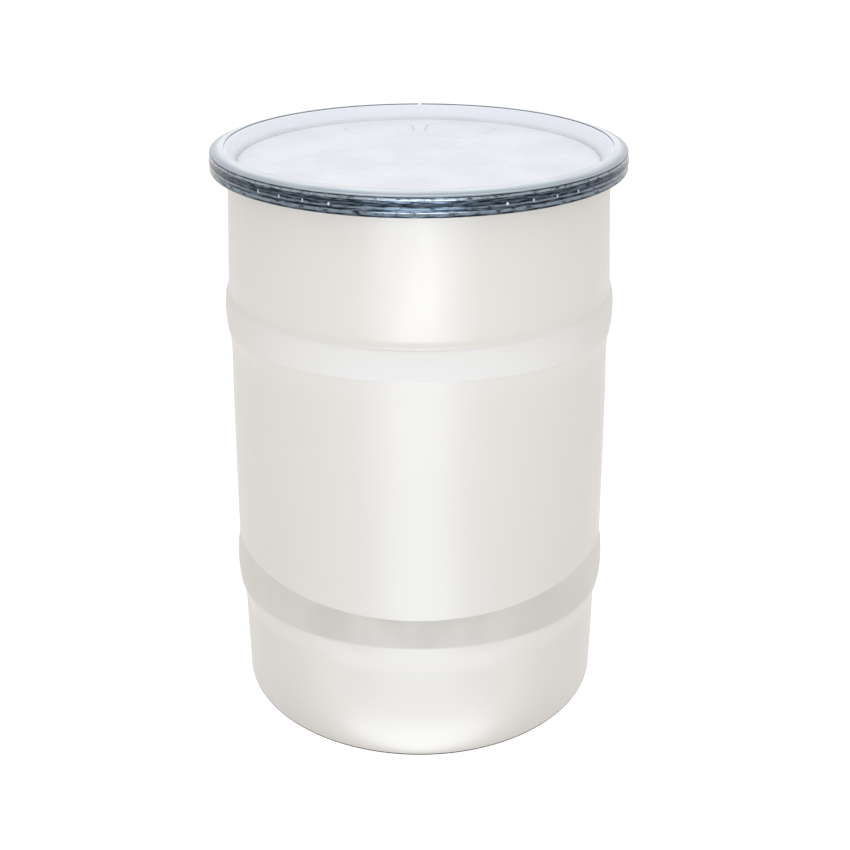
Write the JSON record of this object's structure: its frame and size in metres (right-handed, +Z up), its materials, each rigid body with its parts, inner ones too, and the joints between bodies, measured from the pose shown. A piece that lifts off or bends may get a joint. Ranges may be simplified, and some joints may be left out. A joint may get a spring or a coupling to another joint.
{
  "type": "open-head plastic drum",
  "caption": "Open-head plastic drum with moulded rolling hoops, a recessed lid over a rubber gasket, and a steel closing ring drawn tight by a lever and hook.",
  "frame": {"origin": "centre of the base, on the surface that the drum stands on", "axes": "+Z up along the drum's axis; the ring's lever closure is at +Y; -Y is the plain front"},
  "size_m": [0.516, 0.5243, 0.7502],
  "materials": {
    "drum_plastic": "satin moulded polyethylene, off-white",
    "lid_plastic": "satin moulded polyethylene, white",
    "gasket_rubber": "matt black rubber",
    "ring_steel": "bright galvanised steel",
    "rivet_steel": "plated steel"
  },
  "bodies": {
    "drum": {"drum_body": "drum_plastic"},
    "lid": {"lid": "lid_plastic", "gasket": "gasket_rubber"},
    "ring_right": {"ring_band_right": "ring_steel", "gap_bridge": "ring_steel", "lever_bracket": "ring_steel", "fulcrum_rivet_upper": "rivet_steel", "fulcrum_rivet_lower": "rivet_steel", "seal_eye": "ring_steel"},
    "ring_left": {"ring_band_left": "ring_steel", "catch_plate": "ring_steel"},
    "lever": {"lever": "ring_steel", "lever_link_rivet": "rivet_steel"},
    "link": {"link": "ring_steel"}
  },
  "joints": [
    {"name": "lid_lift", "type": "slide", "parent": "drum", "child": "lid", "axis": [0, 0, 1], "range_m": [0, 0.3]},
    {"name": "ring_lift", "type": "slide", "parent": "lid", "child": "ring_right", "axis": [0, 0, 1], "range_m": [0, 0.18]},
    {"name": "lever_swing", "type": "hinge", "parent": "ring_right", "child": "lever", "pos_m": [0.0165, 0.26228, 0.735], "axis": [0, 0, 1], "range_deg": [0, 150]},
    {"name": "ring_open", "type": "hinge", "parent": "ring_right", "child": "ring_left", "pos_m": [0, -0.258, 0.735], "axis": [0, 0, 1], "range_deg": [0, 3.1]},
    {"name": "link_swing", "type": "hinge", "parent": "lever", "child": "link", "pos_m": [0.03327, 0.25968, 0.735], "axis": [0, 0, 1], "range_deg": [-150, 0]}
  ],
  "couplings": [
    {"joint": "ring_open", "follows": "lever_swing", "ratio": 0.02066},
    {"joint": "link_swing", "follows": "lever_swing", "ratio": -1}
  ]
}
